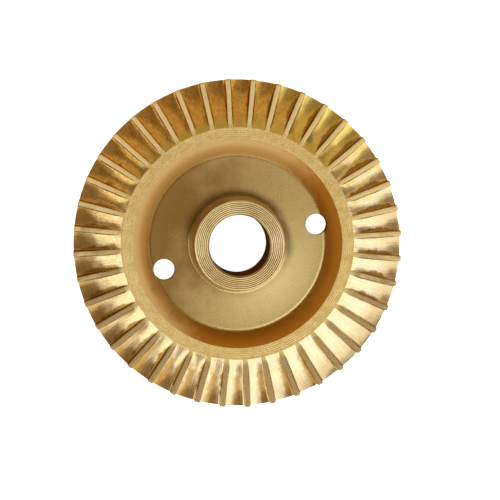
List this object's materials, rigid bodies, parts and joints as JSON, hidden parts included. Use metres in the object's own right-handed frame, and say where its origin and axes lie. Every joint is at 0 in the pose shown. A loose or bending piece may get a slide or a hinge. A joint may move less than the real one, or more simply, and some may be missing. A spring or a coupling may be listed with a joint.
{
  "type": "pump impeller",
  "caption": "Brass peripheral pump impeller: a disc with straight radial vanes and open pockets round its rim on both faces, a dished plate and a raised hub with a plain bore.",
  "frame": {"origin": "on the axis of the shaft bore, at the back face, where the hub and the back land ring end level", "axes": "+Z along the bore towards the long end of the hub, +X and +Y to the right and to the top of the picture"},
  "size_m": [0.073, 0.073, 0.0158],
  "materials": {
    "brass": "satin"
  },
  "bodies": {
    "root": {"impeller": "brass"}
  },
  "joints": []
}
